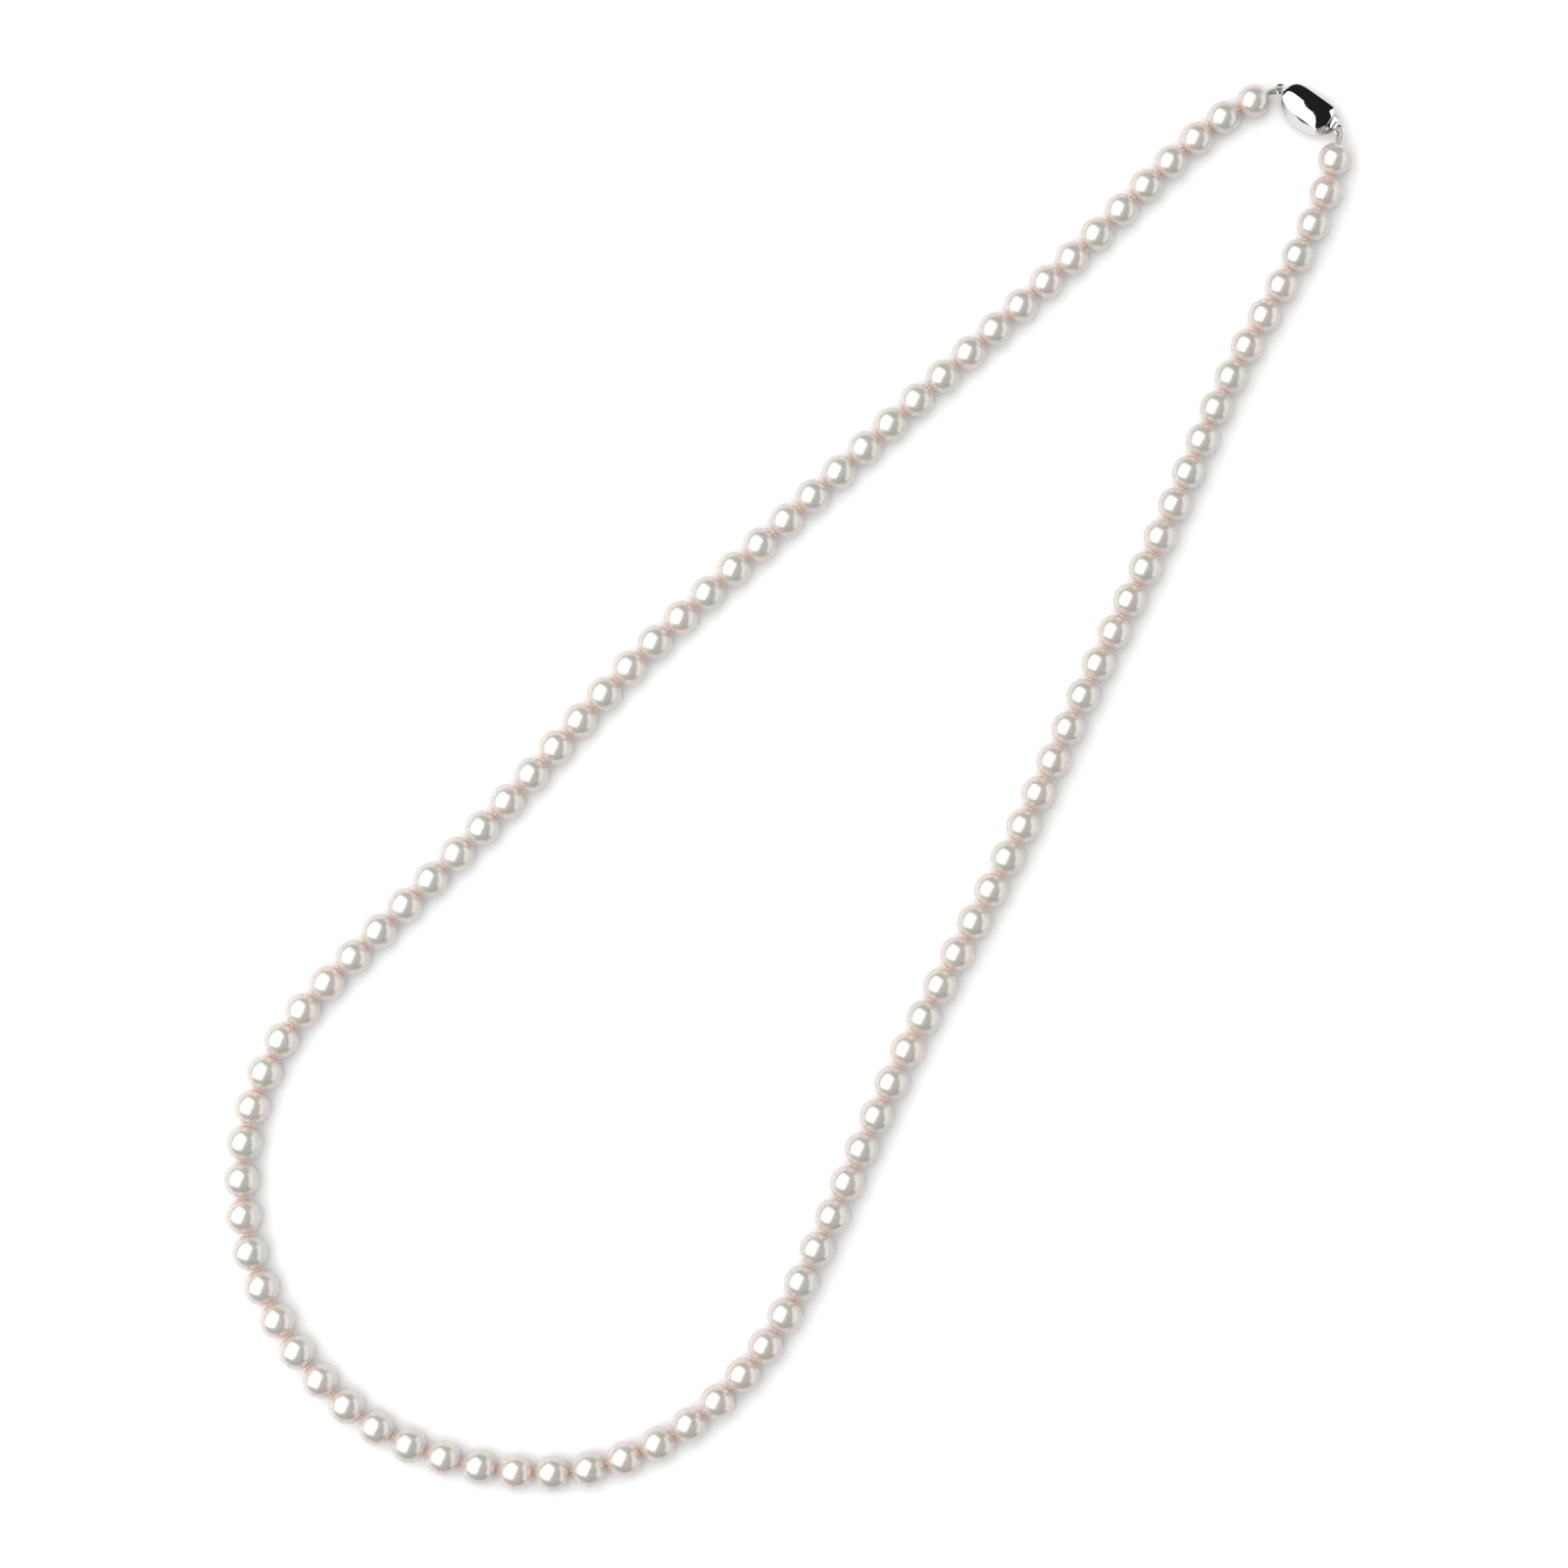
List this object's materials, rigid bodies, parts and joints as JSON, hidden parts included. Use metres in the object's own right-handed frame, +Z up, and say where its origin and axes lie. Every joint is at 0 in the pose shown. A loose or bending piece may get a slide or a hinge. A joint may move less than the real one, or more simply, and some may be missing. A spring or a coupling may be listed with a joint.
{
  "type": "pearl necklace",
  "caption": "Long strand of graduated white pearls on silk, lying in a drop-shaped loop, closed by a polished silver pillow box clasp on French-wire loops.",
  "frame": {"origin": "on the surface that the necklace lies on, under the middle of its outline", "axes": "+Z up from the surface, +Y from the drop's round end towards the clasp"},
  "size_m": [0.2442, 0.305, 0.0078],
  "materials": {
    "nacre": "gloss",
    "silk": "matte",
    "french_wire": "polished",
    "silver": "polished",
    "spring_strip": "satin"
  },
  "bodies": {
    "shoulder": {"left_shoulder_pearls": "nacre", "left_shoulder_thread": "silk", "right_shoulder_pearls": "nacre", "right_shoulder_thread": "silk"},
    "nape": {"left_nape_pearls": "nacre", "left_nape_thread": "silk", "right_nape_pearls": "nacre", "right_nape_thread": "silk"},
    "left_end": {"left_end_pearls": "nacre", "left_end_thread": "silk"},
    "right_end": {"right_end_pearls": "nacre", "right_end_thread": "silk"},
    "upper": {"left_upper_pearls": "nacre", "left_upper_thread": "silk", "right_upper_pearls": "nacre", "right_upper_thread": "silk"},
    "middle": {"left_middle_pearls": "nacre", "left_middle_thread": "silk", "right_middle_pearls": "nacre", "right_middle_thread": "silk"},
    "lower": {"left_lower_pearls": "nacre", "left_lower_thread": "silk", "right_lower_pearls": "nacre", "right_lower_thread": "silk"},
    "left_side": {"left_side_pearls": "nacre", "left_side_thread": "silk"},
    "right_side": {"right_side_pearls": "nacre", "right_side_thread": "silk"},
    "drop_top": {"left_drop_pearls": "nacre", "left_drop_thread": "silk", "right_drop_pearls": "nacre", "right_drop_thread": "silk"},
    "drop": {"drop_pearls": "nacre", "drop_thread": "silk"},
    "left_loop": {"left_thread_loop": "silk", "left_french_wire": "french_wire"},
    "right_loop": {"right_thread_loop": "silk", "right_french_wire": "french_wire"},
    "clasp_housing": {"clasp_housing": "silver", "clasp_base": "silver", "catch_plate": "silver", "housing_ring": "silver"},
    "clasp_tongue": {"tongue_base": "spring_strip", "tongue_end_cap": "silver", "tongue_ring": "silver"},
    "release_spring": {"tongue_spring": "spring_strip", "thumb_tab": "silver"}
  },
  "joints": [
    {"name": "clasp_end_lift", "type": "hinge", "parent": "shoulder", "child": "nape", "pos_m": [0.03653, 0.09165, 0.00371], "axis": [0.8055, -0.5926, 0], "range_deg": [0, 20]},
    {"name": "left_end_swing", "type": "hinge", "parent": "nape", "child": "left_end", "pos_m": [0.05337, 0.107, 0.00368], "axis": [0, 0, 1], "range_deg": [0, 3.88]},
    {"name": "left_loop_swing", "type": "hinge", "parent": "left_end", "child": "left_loop", "pos_m": [0.10693, 0.15142, 0.0033], "axis": [0, 0, 1], "range_deg": [-4.3, 0]},
    {"name": "clasp_roll", "type": "hinge", "parent": "left_loop", "child": "clasp_housing", "pos_m": [0.10693, 0.15142, 0.0033], "axis": [0.8178, -0.5755, 0], "range_deg": [-7, 15]},
    {"name": "clasp_pull", "type": "slide", "parent": "clasp_housing", "child": "clasp_tongue", "axis": [0.8178, -0.5755, 0], "range_m": [0, 0.01], "deforming": ["tongue_spring"]},
    {"name": "thumb_press", "type": "hinge", "parent": "clasp_tongue", "child": "release_spring", "pos_m": [0.10941, 0.14947, 0.00252], "axis": [0.5629, 0.7999, -0.2079], "range_deg": [0, 4.5], "stiffness_Nm_per_rad": 0.004, "springref_deg": -1.15},
    {"name": "right_end_swing", "type": "hinge", "parent": "nape", "child": "right_end", "pos_m": [0.0914, 0.07883, 0.00368], "axis": [0, 0, 1], "range_deg": [-4.72, 0]},
    {"name": "right_loop_swing", "type": "hinge", "parent": "right_end", "child": "right_loop", "pos_m": [0.1196, 0.1425, 0.0033], "axis": [0, 0, 1], "range_deg": [0, 4.29]},
    {"name": "upper_lift", "type": "hinge", "parent": "shoulder", "child": "upper", "pos_m": [0.06913, 0.03031, 0.00374], "axis": [-0.805, 0.5933, 0], "range_deg": [0, 20]},
    {"name": "middle_lift", "type": "hinge", "parent": "upper", "child": "middle", "pos_m": [0.04947, -0.01174, 0.00379], "axis": [-0.8055, 0.5926, 0], "range_deg": [0, 20]},
    {"name": "lower_lift", "type": "hinge", "parent": "middle", "child": "lower", "pos_m": [0.03128, -0.04634, 0.00382], "axis": [-0.8056, 0.5924, 0], "range_deg": [0, 20]},
    {"name": "side_sway", "type": "hinge", "parent": "lower", "child": "left_side", "pos_m": [-0.06881, -0.0116, 0.00385], "axis": [0, 0, 1], "range_deg": [-15, 15]},
    {"name": "right_side_sway", "type": "hinge", "parent": "lower", "child": "right_side", "pos_m": [0.01774, -0.07477, 0.00385], "axis": [0, 0, 1], "range_deg": [-15, 15]},
    {"name": "drop_level", "type": "hinge", "parent": "left_side", "child": "drop_top", "pos_m": [-0.11821, -0.08095, 0.00389], "axis": [0, 0, 1], "range_deg": [-15, 15]},
    {"name": "drop_lift", "type": "hinge", "parent": "drop_top", "child": "drop", "pos_m": [-0.0549, -0.14866, 0.0039], "axis": [-0.8083, 0.5888, 0], "range_deg": [0, 20]}
  ],
  "couplings": [
    {"joint": "left_end_swing", "follows": "clasp_pull", "rad_per_m": 6.6136},
    {"joint": "left_loop_swing", "follows": "clasp_pull", "rad_per_m": -7.347},
    {"joint": "right_end_swing", "follows": "clasp_pull", "rad_per_m": -8.0529},
    {"joint": "right_loop_swing", "follows": "clasp_pull", "rad_per_m": 7.3195},
    {"joint": "right_side_sway", "follows": "side_sway", "ratio": 1},
    {"joint": "drop_level", "follows": "side_sway", "ratio": -1}
  ]
}
